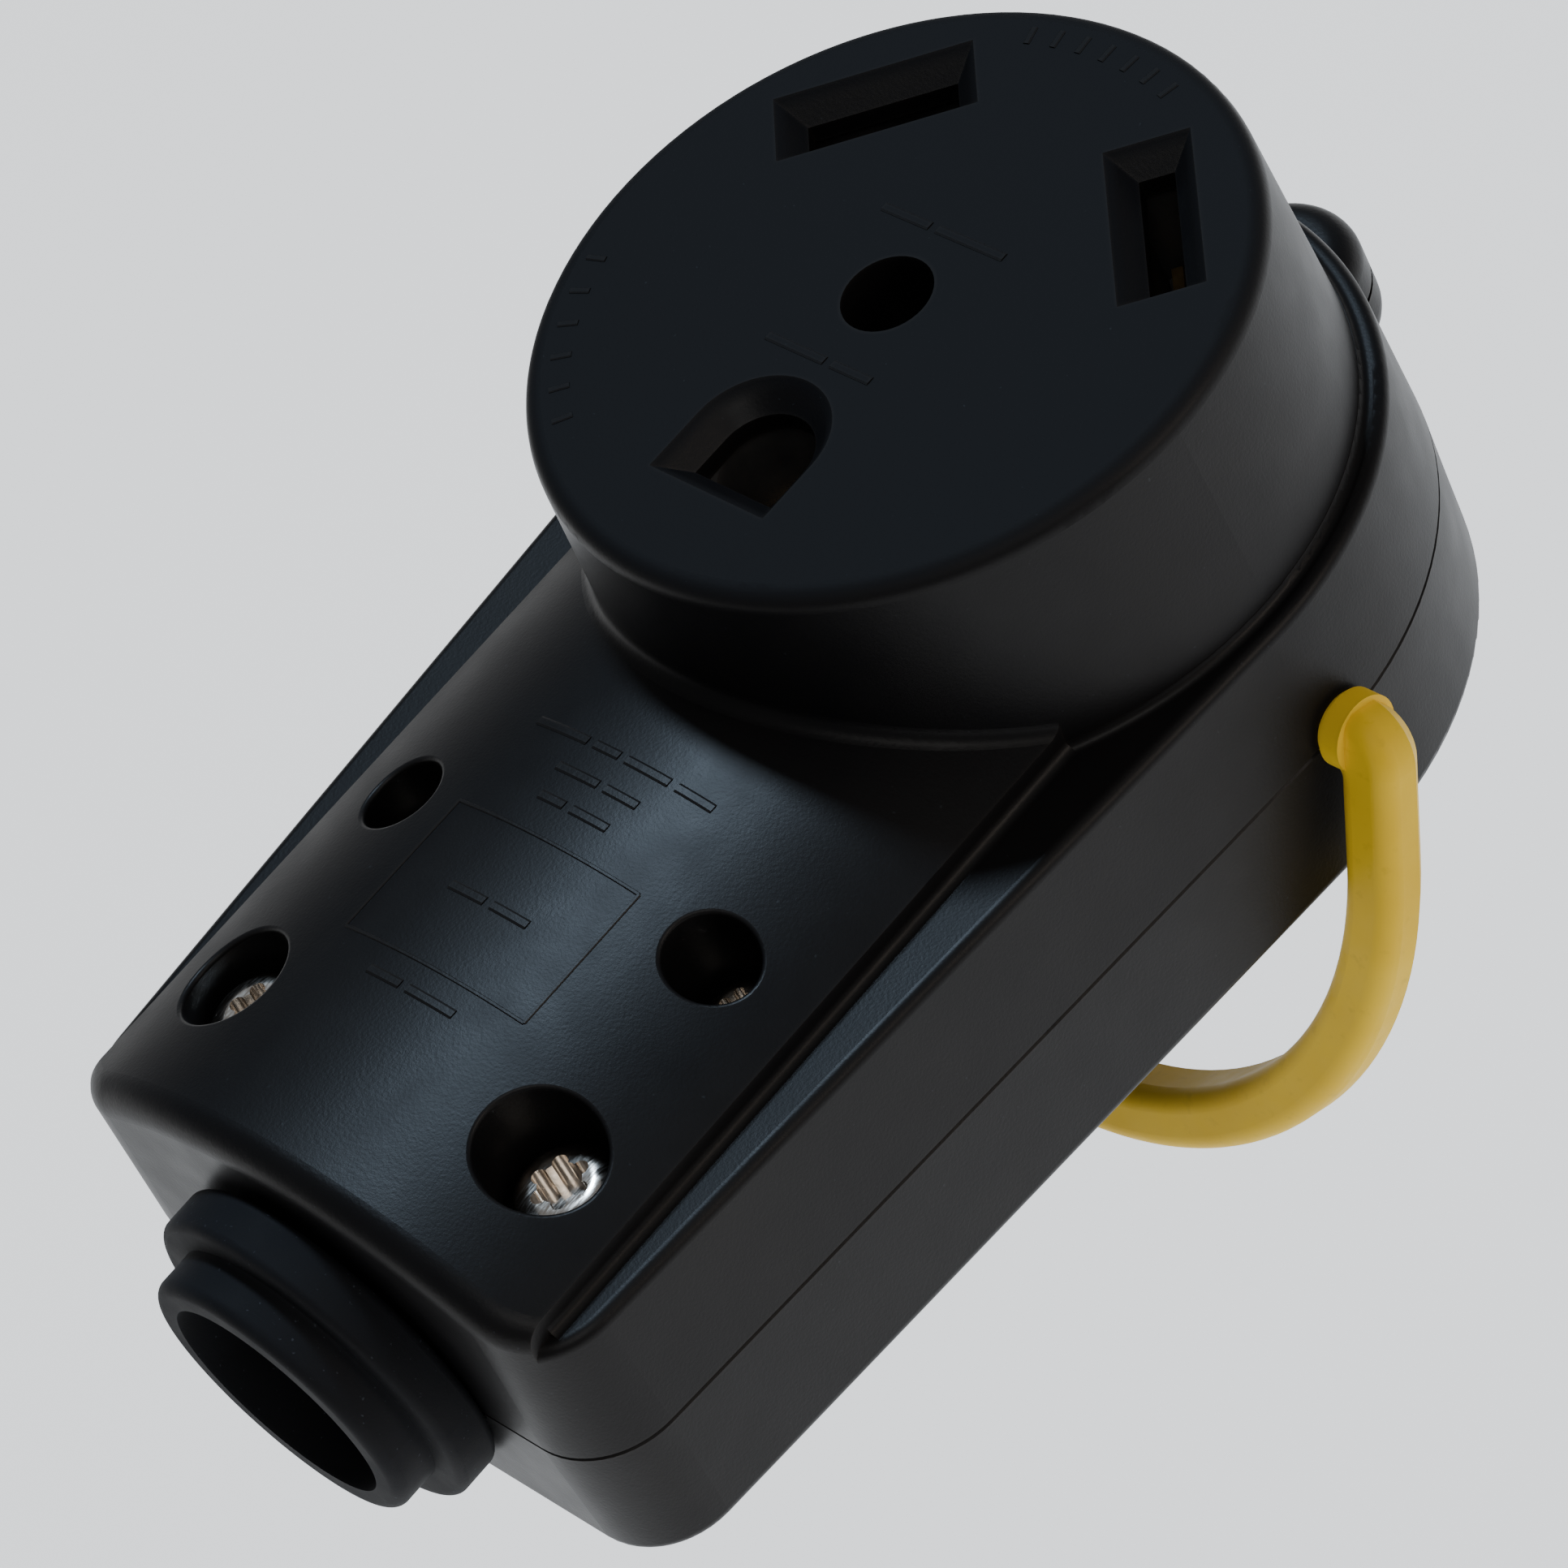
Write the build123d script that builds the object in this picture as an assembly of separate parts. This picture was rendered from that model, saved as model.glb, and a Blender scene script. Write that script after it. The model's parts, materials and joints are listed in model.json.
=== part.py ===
from build123d import *
import os
from math import acos, atan2, cos, hypot, radians, sin

# Rewireable 30 A cord connector (cable-end socket) with a swinging pull handle.
#
# Frame of the written parts: millimetres, origin on the flat rear face under the
# centre of the socket, +Z out of the socket face, -Y towards the cord. Everything is
# first modelled with Z = 0 where the two housing halves meet, and then lifted so that
# the rear face lies at Z = 0.

# ---- outer housing -------------------------------------------------------------
FACE_Z = 29.8          # socket face above the split plane
REAR_Z = -11.6         # flat rear face below the split plane
HEAD_R = 28.9          # round head at the split plane
TAIL_HALF_W = 24.3     # half width of the tail end at the split plane
TAIL_Y = -70.9         # tail end wall
TAIL_CORNER_R = 6.5
DRAFT = 1.8            # degrees, both halves
WALL = 2.4
TAIL_WALL = 2.6
TAIL_INNER_Y = TAIL_Y + TAIL_WALL
LEDGE_Z = 11.3         # ledge that runs along both sides and round the head
LEDGE_EDGE_R = 0.9
LEDGE_FOOT_R = 0.8
FOOT_START_Y = -12.0   # soft inside corner between panel and ledge
FOOT_RUN = 55.5
PANEL_HALF_W = 22.0    # raised panel between the ledges
PANEL_CREST_Z = 18.8
PANEL_CROWN_R = 45.0
PANEL_EDGE_R = 2.6
PANEL_INNER_EDGE_R = 1.5
TAIL_EDGE_R = 2.2
REAR_EDGE_R = 1.0
SPLIT_BEVEL = 0.14
SPLIT_GAP = 0.04
LUG_Y = 28.0           # rounded lug on the head end
LUG_R = 6.3
LUG_TOP_Z = 4.4
LUG_EDGE_R = 2.4

# ---- socket barrel -------------------------------------------------------------
RIM_R = 26.0
RIM_EDGE_R = 1.5
HOUSING_CUT_Y = -28.6     # between the barrel's foot and the middle screw columns
BARREL_BASE_R = 26.9
BARREL_PANEL_R = 1.2   # soft corner between barrel and panel
BARREL_BORE_R = 23.7
FACE_THICK = 3.2

# ---- contact openings in the face ----------------------------------------------
BLADE_R = 18.5         # radius of both blade slots from the face centre
BLADE_ANGLES = {"neutral": 135, "hot": 45}
SLOT_L = 10.8
SLOT_W = 2.5
BEVEL = 1.8            # lead-in bevel round each opening
GROUND_Y = -13.65
GROUND_R = 3.6
GROUND_FLAT = 3.2      # flat side of the D, from the centre of its arc
FACE_HOLE_R = 3.3
FACE_CUT = 8.0         # how far the openings are cut down from the face

# ---- screws: two at the tail, two in the middle, one in the face ------------------
TAIL_SCREW = dict(x=15.05, y=-58.85, well=4.25, head=3.9, seat=9.6, dome=2.9, shank=2.0, ear=3.0)
MID_SCREW = dict(x=15.05, y=-41.85, well=3.15, head=2.75, seat=8.6, dome=2.2, shank=1.5, ear=0.0)
FACE_SCREW = dict(x=0.0, y=0.0, well=3.3, head=2.9, seat=18.6, dome=2.0, shank=1.6, ear=0.0)
COLUMN_WALL = 1.5
COLUMN_FOOT_WALL = 2.2
COLUMN_LAP = 1.2       # wide part of a column reaches this far below its seat
FACE_COLUMN_Z = 16.0
WELL_RIM_R = 0.3
BOSS_WALL = 1.5
INSERT_WALL = 1.3
INSERT_LEN = 5.6
FIT = 0.03             # radial gap between pieces that sit in one another
SHANK_GAP = 0.15       # radial gap round a screw where it passes through
EAR_GAP = 0.05         # gap each side of the cord clamp's ears
SEAT_GAP = 0.1         # end gap of inserts and contacts in their pockets
DOME_EDGE = 0.62       # screw head rounding, recess depth and width, as shares
RECESS_DEPTH = 0.6
RECESS_R = 0.56
LOBE_CORE = 0.72       # six-lobe recess: core, lobe centres and lobe size
LOBE_AT = 0.74
LOBE_R = 0.26
LOBE_TURN = 12         # degrees
TIP_BEVEL = 0.4

# ---- cord entry ------------------------------------------------------------------
CORD_Z = 1.8
CORD_R = 8.6           # 17.2 mm cord
FLANGE_R = 13.1
FLANGE_T = 3.7
NOSE_R = 10.75
NOSE_END_Y = -78.0
NECK_R = 10.6
INNER_COLLAR_R = 12.2
INNER_COLLAR_T = 2.15
GROMMET_GAP = 0.05     # between the rubber and the tail wall
FLANGE_EDGE_R = 0.7
NOSE_EDGE_R = 0.9
CLAMP_REACH = 19.4
CLAMP_Y = -58.85
CLAMP_W = 8.0
SADDLE_R = 10.4
SADDLE_GAP = 0.6       # saddle to cord, between the ribs
RIB_GAP = 0.15
RIB_PLACE = 2.2
RIB_HALF_W = 0.5

# ---- pull handle -----------------------------------------------------------------
HANDLE_ANGLE = -112.4  # degrees from +Y towards +Z, as it hangs
HANDLE_R = 32.1        # centre line of the bend, also half the spread of the legs
HANDLE_LEG = 9.6
BAR_W = 4.6            # across the bar, in the plane of the loop
BAR_T = 4.2
ELBOW_R = 4.0
COLLAR_R = 2.8
PIN_R = 2.4
PIN_GAP = 0.05
PIN_HEAD_R = 3.6
PIN_HEAD_T = 1.4
PIN_REACH = 4.6
BAR_EDGE_R = 1.4
INNER_CORNER_R = 0.5
COLLAR_L = 1.6
HOUSING_GAP = 0.35     # handle elbow to the side of the head
RIDGE_L = 1.0          # ridge along the back of the outer side
RIDGE_D = 1.2

# ---- contacts --------------------------------------------------------------------
CARRIER_R = 23.3
CARRIER_TOP_Z = FACE_Z - FACE_THICK - 0.1
CARRIER_FLOOR_Z = 9.0
RETAINER_Z = (6.3, 8.8)
LEAF = 0.8             # brass strip
JAW_GAP = 1.7
JAW_L = 10.0
JAW_TOP_Z = 20.0
JAW_FLOOR_Z = 11.2
FOOT_Z = 1.8
FOOT_L = 9.5
FOOT_W = 8.0
FOOT_HOLE_X = 5.0
STRIP_W = 5.0
SPRING_T = 0.5
SPRING_W = 6.0
SPRING_Z = (13.2, 18.6)
PIN_SOCKET_R = 2.9
SLIT_HALF_W = 0.6
PLATE_T = 1.1
TERMINAL_R = 1.7
TERMINAL_HEAD_R = 3.2
TERMINAL_HEAD_T = 2.2
TERMINAL_REACH = 3.4   # screw end above the foot
PLATE_HALF_W = 3.4
PLATE_CORNER_R = 0.8
DRIVE_SLOT = (1.0, 1.0)  # width and depth of a slotted head
GROUND_TERMINAL_Y = -21.5
CARRIER_SCREW_R = 1.2
CARRIER_SCREW_HEAD = (2.4, 1.6)  # radius and height
CARRIER_SCREW_AT = (17.5, 18)    # radius and degrees below the X axis
CARRIER_SCREW_DEPTH = 5.0
POCKET_GAP = 0.2
STRIP_GAP = 0.1


def outline(z=0.0, inset=0.0):
    """Closed outline: head circle, two tangent sides, rounded tail corners."""
    head = HEAD_R - inset
    half = TAIL_HALF_W - inset
    tail = TAIL_Y + inset
    reach = hypot(half, tail)
    touch = atan2(tail, half) + acos(head / reach)
    tx, ty = head * cos(touch), head * sin(touch)
    with BuildSketch(Plane.XY.offset(z)) as sk:
        with BuildLine():
            ThreePointArc((tx, ty), (0, head), (-tx, ty))
            Polyline((-tx, ty), (-half, tail), (half, tail), (tx, ty))
        make_face()
        corners = sk.vertices().filter_by(lambda v: v.Y < tail + 1)
        fillet(corners, max(TAIL_CORNER_R - inset, 1.5))
    return sk.sketch


def crown(half_width, crest, radius, edge, y0, y1):
    """Bar along Y with an arched top: the raised panel or the hollow below it."""
    side = crest - radius + (radius**2 - half_width**2) ** 0.5
    with BuildPart() as bar:
        with BuildSketch(Plane.XZ.offset(-y1)) as sk:
            with BuildLine():
                ThreePointArc((-half_width, side), (0, crest), (half_width, side))
                Polyline((half_width, side), (half_width, 0), (-half_width, 0), (-half_width, side))
            make_face()
            shoulders = sk.vertices().filter_by(lambda v: v.Z > side - 0.5)
            fillet(shoulders, edge)
        extrude(amount=y1 - y0)
    return bar.part


def turned(r0, r1, z0, z1):
    """Upright frustum or cylinder on the Z axis."""
    if abs(r0 - r1) < 1e-6:
        return Pos(0, 0, (z0 + z1) / 2) * Cylinder(r0, z1 - z0)
    return Pos(0, 0, (z0 + z1) / 2) * Cone(r0, r1, z1 - z0)


def post(x, y, r, z0, z1):
    return Pos(x, y, 0) * turned(r, r, z0, z1)


def pair(screw):
    """Both mirror positions of a screw, or its one position on the centre line."""
    if screw["x"]:
        return [(-screw["x"], screw["y"]), (screw["x"], screw["y"])]
    return [(0, screw["y"])]


def along_y(r, y0, y1, z=0.0):
    return Pos(0, (y0 + y1) / 2, z) * Rot(90, 0, 0) * Cylinder(r, y1 - y0)


def along_x(r, x0, x1):
    return Pos((x0 + x1) / 2, 0, 0) * Rot(0, 90, 0) * Cylinder(r, x1 - x0)


def block(x0, x1, y0, y1, z0, z1):
    return Pos((x0 + x1) / 2, (y0 + y1) / 2, (z0 + z1) / 2) * Box(x1 - x0, y1 - y0, z1 - z0)


def d_hole(z, grow=0.0):
    """D-shaped ground opening: round towards the centre, flat towards the cord."""
    r = GROUND_R + grow
    with BuildSketch(Plane.XY.offset(z)) as sk:
        with Locations((0, GROUND_Y)):
            Circle(r)
            with Locations((0, -(GROUND_FLAT + grow) / 2)):
                Rectangle(2 * r, GROUND_FLAT + grow)
        with Locations((0, GROUND_Y - GROUND_FLAT - grow - r)):
            Rectangle(4 * r, 2 * r, mode=Mode.SUBTRACT)
    return sk.sketch


def blade_place(name):
    """Local frame of a blade: X radial, Y along the blade, at the split plane."""
    return Rot(0, 0, BLADE_ANGLES[name]) * Pos(BLADE_R, 0, 0)


def face_openings():
    """Cutters for the two blade slots, the ground hole and the face screw."""
    bottom = FACE_Z - BEVEL
    cuts = []
    for name in BLADE_ANGLES:
        wide = Pos(0, 0, FACE_Z) * Rectangle(SLOT_W + 2 * BEVEL, SLOT_L + 2 * BEVEL)
        narrow = Pos(0, 0, bottom) * Rectangle(SLOT_W, SLOT_L)
        slot = Pos(0, 0, FACE_Z - FACE_CUT / 2) * Box(SLOT_W, SLOT_L, FACE_CUT)
        cuts.append(blade_place(name) * (loft([narrow, wide]) + slot))
    ground = loft([d_hole(bottom), d_hole(FACE_Z, BEVEL)])
    ground += extrude(d_hole(FACE_Z - FACE_CUT), amount=FACE_CUT)
    cuts.append(ground)
    cuts.append(post(0, 0, FACE_HOLE_R, FACE_Z - FACE_CUT, FACE_Z + 1))
    return cuts


def foot_profile(at, z, r):
    """Section of the soft inside corner where a wall at X = at meets the ledge."""
    with BuildSketch(Plane.XZ) as sk:
        with BuildLine():
            Polyline((at, z + r), (at - 1, z + r), (at - 1, z - 0.5), (at + r, z - 0.5), (at + r, z))
            ThreePointArc((at + r, z), (at + r * (1 - sin(radians(45))), z + r * (1 - sin(radians(45)))),
                          (at, z + r))
        make_face()
    return sk.sketch


def front_outside():
    """Outside of the front half, solid: side walls, ledge, crowned panel, barrel, lug."""
    base = extrude(outline(), amount=LEDGE_Z, taper=DRAFT)
    base = fillet(base.edges().group_by(Axis.Z)[-1], LEDGE_EDGE_R)
    base = chamfer(base.edges().group_by(Axis.Z)[0], SPLIT_BEVEL)

    panel = extrude(outline(), amount=PANEL_CREST_Z + 4, taper=DRAFT)
    panel &= crown(PANEL_HALF_W, PANEL_CREST_Z, PANEL_CROWN_R, PANEL_EDGE_R, TAIL_Y - 5, 0)
    top_end = [e for e in panel.edges() if e.bounding_box().max.Y < TAIL_Y + TAIL_CORNER_R + 1
               and e.bounding_box().min.Z > LEDGE_Z + 0.5 and e.length > 3]
    panel = fillet(top_end, TAIL_EDGE_R)
    panel -= block(-40, 40, -90, 10, -1, LEDGE_Z - 1)

    barrel = turned(BARREL_BASE_R, RIM_R, LEDGE_Z, FACE_Z)
    barrel += turned(BARREL_BASE_R, BARREL_BASE_R, LEDGE_Z - 1, LEDGE_Z)
    barrel = fillet(barrel.edges().group_by(Axis.Z)[-1], RIM_EDGE_R)
    upper = panel + barrel
    seam = [e for e in upper.edges() if e.geom_type == GeomType.BSPLINE and e.length > 40
            and e.bounding_box().max.Y > -20 and e.bounding_box().min.Z > LEDGE_Z + 1]
    upper = fillet(seam, BARREL_PANEL_R)

    foot = foot_profile(PANEL_HALF_W, LEDGE_Z, LEDGE_FOOT_R)
    strip = Pos(0, FOOT_START_Y, 0) * extrude(foot, amount=FOOT_RUN)
    ring = revolve(foot_profile(BARREL_BASE_R, LEDGE_Z, LEDGE_FOOT_R * 0.8), Axis.Z, 360)
    lug = post(0, LUG_Y, LUG_R, SPLIT_BEVEL, LUG_TOP_Z)
    lug = fillet(lug.edges().group_by(Axis.Z)[-1], LUG_EDGE_R)
    return base + upper + strip + mirror(strip, Plane.YZ) + ring + lug


def front_shell():
    outside = front_outside()
    shell = outside - extrude(outline(-1, WALL), amount=LEDGE_Z - WALL + 1)
    shell -= crown(PANEL_HALF_W - WALL, PANEL_CREST_Z - WALL, PANEL_CROWN_R - WALL, PANEL_INNER_EDGE_R,
                   TAIL_INNER_Y, 0)
    shell -= turned(BARREL_BORE_R, BARREL_BORE_R, -1, FACE_Z - FACE_THICK)
    for screw in (TAIL_SCREW, MID_SCREW):
        for x, y in pair(screw):
            column = post(x, y, screw["well"] + COLUMN_WALL, screw["seat"] - COLUMN_LAP, PANEL_CREST_Z)
            column += post(x, y, screw["shank"] + COLUMN_FOOT_WALL, screw["ear"] + EAR_GAP, screw["seat"])
            shell += column & outside
    shell += post(0, 0, FACE_SCREW["well"] + COLUMN_WALL, FACE_COLUMN_Z, FACE_Z - 1)
    for screw in (TAIL_SCREW, MID_SCREW, FACE_SCREW):
        for x, y in pair(screw):
            shell -= post(x, y, screw["well"], screw["seat"], FACE_Z + 1)
            shell -= post(x, y, screw["shank"] + SHANK_GAP, -1, screw["seat"])
    for cut in face_openings():
        shell -= cut
    shell -= along_y(NECK_R + FIT, TAIL_Y - 2, TAIL_INNER_Y + 1, CORD_Z)
    shell -= along_x(PIN_R + PIN_GAP, -HEAD_R - 2, HEAD_R + 2)
    shell -= block(-HEAD_R - 1, HEAD_R + 1, -90, 40, -2, 0)
    rims = [e for e in shell.edges() if is_well_rim(e)]
    return fillet(rims, WELL_RIM_R)


def front_housing_ends():
    """The head and the tail of the front shell.

    The shell is a single moulding. It is divided on a plane only so that each solid is simple
    enough for its collision shape to follow it; the two ends belong together.
    """
    shell = front_shell()
    tail_room = block(-HEAD_R - 1, HEAD_R + 1, TAIL_Y - 1, HOUSING_CUT_Y, -1, FACE_Z + 1)
    return shell - tail_room, shell & tail_room


def is_well_rim(edge):
    """True for the edge where a screw well breaks through the crowned panel."""
    box = edge.bounding_box()
    if box.min.Z < LEDGE_Z + 1 or box.max.Y > -30:
        return False
    for screw in (TAIL_SCREW, MID_SCREW):
        wide = abs(box.max.X - box.min.X - 2 * screw["well"]) < 0.05
        if wide and abs((box.max.Y + box.min.Y) / 2 - screw["y"]) < 0.1:
            return True
    return False


def insert_top(screw):
    """Top of a screw's insert: under the retainer, the clamp's ear or the split plane."""
    if screw is FACE_SCREW:
        return RETAINER_Z[0] - 2 * SEAT_GAP
    return -screw["ear"] - SEAT_GAP


def rear_housing():
    shell = extrude(outline(-SPLIT_GAP), amount=-REAR_Z - SPLIT_GAP, dir=(0, 0, -1), taper=DRAFT)
    shell = fillet(shell.edges().group_by(Axis.Z)[0], REAR_EDGE_R)
    shell = chamfer(shell.edges().group_by(Axis.Z)[-1], SPLIT_BEVEL)
    lug = post(0, LUG_Y, LUG_R, -LUG_TOP_Z, -SPLIT_GAP - SPLIT_BEVEL)
    shell += fillet(lug.edges().group_by(Axis.Z)[0], LUG_EDGE_R)
    floor = REAR_Z + WALL
    shell -= extrude(outline(floor, WALL), amount=20)
    for screw in (TAIL_SCREW, MID_SCREW, FACE_SCREW):
        top = insert_top(screw)
        for x, y in pair(screw):
            bore = screw["shank"] + INSERT_WALL
            shell += post(x, y, bore + BOSS_WALL, floor - 0.5, top)
            shell -= post(x, y, bore + FIT, top - INSERT_LEN - SEAT_GAP, top + 1)
    shell -= along_y(NECK_R + FIT, TAIL_Y - 2, TAIL_INNER_Y + 1, CORD_Z)
    shell -= along_x(PIN_R + PIN_GAP, -HEAD_R - 2, HEAD_R + 2)
    return shell


def machine_screw(screw, end_z):
    """Domed screw standing on its seat, head up, with a six-lobe recess."""
    r = screw["head"]
    head = turned(r, r, screw["seat"] + FIT, screw["seat"] + screw["dome"])
    head = fillet(head.edges().group_by(Axis.Z)[-1], screw["dome"] * DOME_EDGE)
    top = screw["seat"] + screw["dome"]
    head -= drive_recess(r * RECESS_R, top, screw["dome"] * RECESS_DEPTH)
    shank = turned(screw["shank"], screw["shank"], end_z, screw["seat"] + FIT)
    shank = chamfer(shank.edges().group_by(Axis.Z)[0], TIP_BEVEL)
    return head + shank


def drive_recess(r, top, depth):
    """Six-lobe socket cut into a screw head."""
    cut = turned(r * LOBE_CORE, r * LOBE_CORE, top - depth, top + 1)
    for k in range(6):
        a = radians(60 * k + LOBE_TURN)
        cut += post(r * LOBE_AT * cos(a), r * LOBE_AT * sin(a), r * LOBE_R, top - depth, top + 1)
    return cut


def screw_set(screw, end_z):
    one = machine_screw(screw, end_z)
    return Compound([Pos(x, y, 0) * one for x, y in pair(screw)])


def insert_set(screw):
    """Plain brass inserts, one under each screw, held in the rear bosses."""
    top = insert_top(screw)
    r = screw["shank"]
    sleeve = turned(r + INSERT_WALL, r + INSERT_WALL, top - INSERT_LEN, top)
    sleeve -= turned(r + FIT, r + FIT, top - INSERT_LEN - 1, top + 1)
    return Compound([Pos(x, y, 0) * sleeve for x, y in pair(screw)])


def cord_grommet():
    back = TAIL_Y - GROMMET_GAP
    front = back - FLANGE_T
    flange = along_y(FLANGE_R, front, back, CORD_Z)
    flange = fillet(flange.edges().filter_by(GeomType.CIRCLE), FLANGE_EDGE_R)
    nose = along_y(NOSE_R, NOSE_END_Y, front + 1, CORD_Z)
    nose = fillet(nose.edges().filter_by(GeomType.CIRCLE).group_by(Axis.Y)[0], NOSE_EDGE_R)
    neck = along_y(NECK_R, back - 1, TAIL_INNER_Y + 1, CORD_Z)
    start = TAIL_INNER_Y + GROMMET_GAP
    collar = along_y(INNER_COLLAR_R, start, start + INNER_COLLAR_T, CORD_Z)
    collar &= block(-15, 15, -90, -50, REAR_Z + WALL + SEAT_GAP, 20)
    body = flange + nose + neck + collar
    return body - along_y(CORD_R, -90, -50, CORD_Z)


def cord_clamp(side):
    """Half of the saddle that grips the cord: side is 1 for the upper, -1 for the lower."""
    y0, y1 = CLAMP_Y - CLAMP_W / 2, CLAMP_Y + CLAMP_W / 2
    low, high = sorted((side * EAR_GAP, side * 14))
    ear_low, ear_high = sorted((side * EAR_GAP, side * (TAIL_SCREW["ear"] - EAR_GAP)))
    saddle = along_y(SADDLE_R, y0, y1, CORD_Z) & block(-12, 12, y0, y1, low, high)
    saddle += block(-CLAMP_REACH, CLAMP_REACH, y0, y1, ear_low, ear_high)
    saddle -= along_y(CORD_R + SADDLE_GAP, y0 - 1, y1 + 1, CORD_Z)
    for y in (CLAMP_Y - RIB_PLACE, CLAMP_Y + RIB_PLACE):
        rib = along_y(CORD_R + 1.0, y - RIB_HALF_W, y + RIB_HALF_W, CORD_Z)
        rib -= along_y(CORD_R + RIB_GAP, y - 1, y + 1, CORD_Z)
        saddle += rib & block(-12, 12, y0, y1, low, high)
    for x, y in pair(TAIL_SCREW):
        saddle -= post(x, y, TAIL_SCREW["shank"] + SHANK_GAP, -20, 20)
    return saddle


def pull_handle():
    """U-shaped bar whose ends turn inwards and snap into the split line as pins."""
    half = BAR_W / 2
    out, inn = HANDLE_R + half, HANDLE_R - half
    root = HEAD_R + HOUSING_GAP
    with BuildSketch() as sk:
        with BuildLine():
            Polyline((root, -half), (out, -half), (out, HANDLE_LEG))
            ThreePointArc((out, HANDLE_LEG), (0, HANDLE_LEG + out), (-out, HANDLE_LEG))
            Polyline((-out, HANDLE_LEG), (-out, -half), (-root, -half), (-root, half), (-inn, half),
                     (-inn, HANDLE_LEG))
            ThreePointArc((-inn, HANDLE_LEG), (0, HANDLE_LEG + inn), (inn, HANDLE_LEG))
            Polyline((inn, HANDLE_LEG), (inn, half), (root, half), (root, -half))
        make_face()
        fillet(sk.vertices().filter_by(lambda v: abs(v.X) > out - 0.1 and v.Y < 0), ELBOW_R)
        inner = sk.vertices().filter_by(lambda v: abs(abs(v.X) - inn) < 0.05 and v.Y < half + 0.1)
        fillet(inner, INNER_CORNER_R)
    bar = Pos(0, 0, -BAR_T / 2) * extrude(sk.sketch, amount=BAR_T)
    back = bar.edges().group_by(Axis.Z)[-1]
    back_outer = [e for e in back if outer_rim(e, inn)]
    bar = chamfer(back_outer, RIDGE_L, RIDGE_D, reference=bar.faces().sort_by(Axis.Z)[-1])
    soft = [e for e in bar.edges() if abs(e.center().Z + BAR_T / 2) < 0.01 and not at_root(e, root)]
    bar = fillet(soft, BAR_EDGE_R)
    for side in (-1, 1):
        pin = along_x(COLLAR_R, root, root + COLLAR_L) + along_x(PIN_R, root - PIN_REACH, root)
        pin += along_x(PIN_HEAD_R, root - PIN_REACH, root - PIN_REACH + PIN_HEAD_T)
        bar += pin if side > 0 else mirror(pin, Plane.YZ)
    return Rot(HANDLE_ANGLE, 0, 0) * bar


def outer_rim(edge, inn):
    """True for an edge on the outside of the loop, with its outer elbows."""
    mid = edge @ 0.5
    return hypot(mid.X, max(mid.Y - HANDLE_LEG, 0)) > inn + 1.5 or mid.Y < -1


def at_root(edge, root):
    box = edge.bounding_box()
    return abs(box.max.X - box.min.X) < 0.01 and abs(abs(box.max.X) - root) < 0.02


def blade_contact(name):
    """Folded brass jaw for one blade, with the strip down to its wire terminal."""
    x = JAW_GAP / 2
    jaw = block(x, x + LEAF, -JAW_L / 2, JAW_L / 2, JAW_FLOOR_Z, JAW_TOP_Z)
    jaw += mirror(jaw, Plane.YZ)
    jaw += block(-x - LEAF, x + LEAF, -JAW_L / 2, JAW_L / 2, JAW_FLOOR_Z - LEAF, JAW_FLOOR_Z)
    jaw += block(-LEAF / 2, LEAF / 2, -STRIP_W / 2, STRIP_W / 2, FOOT_Z - LEAF, JAW_FLOOR_Z)
    jaw += block(-FOOT_L, LEAF / 2, -FOOT_W / 2, FOOT_W / 2, FOOT_Z - LEAF, FOOT_Z)
    jaw -= post(-FOOT_HOLE_X, 0, TERMINAL_R + FIT, 0, FOOT_Z + 1)
    return blade_place(name) * jaw


def jaw_spring(name):
    """Spring-steel clip that closes round the brass jaw."""
    x = JAW_GAP / 2 + LEAF + FIT
    low, high = SPRING_Z
    clip = block(-x - SPRING_T, x + SPRING_T, -SPRING_W / 2, SPRING_W / 2, low, high)
    clip -= block(-x, x, -SPRING_W, SPRING_W, low - 1, high + 1)
    ends = block(-x - SPRING_T, x + SPRING_T, JAW_L / 2 + FIT, JAW_L / 2 + FIT + SPRING_T, low, high)
    ends += block(x, x + SPRING_T, 0, JAW_L / 2 + FIT + SPRING_T, low, high)
    ends += mirror(ends, Plane.YZ)
    return blade_place(name) * (clip + ends)


def ground_contact():
    """Brass sleeve for the ground pin, split down one side, with its terminal foot."""
    z0, z1 = JAW_FLOOR_Z - LEAF, JAW_TOP_Z
    sleeve = post(0, GROUND_Y, PIN_SOCKET_R + LEAF, z0, z1)
    sleeve -= post(0, GROUND_Y, PIN_SOCKET_R, JAW_FLOOR_Z, z1 + 1)
    sleeve -= block(-SLIT_HALF_W, SLIT_HALF_W, GROUND_Y, GROUND_Y + 6, JAW_FLOOR_Z, z1 + 1)
    y = GROUND_Y - PIN_SOCKET_R - LEAF
    sleeve += block(-STRIP_W / 2, STRIP_W / 2, y, y + LEAF, FOOT_Z - LEAF, z0 + 4)
    sleeve += block(-FOOT_W / 2, FOOT_W / 2, y - FOOT_L + 1, y + LEAF, FOOT_Z - LEAF, FOOT_Z)
    return sleeve - post(0, GROUND_TERMINAL_Y, TERMINAL_R + FIT, 0, FOOT_Z + 1)


def terminal_places():
    """Where the wire terminals are: on the two blade feet and on the ground foot."""
    places = {}
    for name, angle in BLADE_ANGLES.items():
        reach = BLADE_R - FOOT_HOLE_X
        places[name] = (reach * cos(radians(angle)), reach * sin(radians(angle)))
    places["ground"] = (0, GROUND_TERMINAL_Y)
    return places


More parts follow.
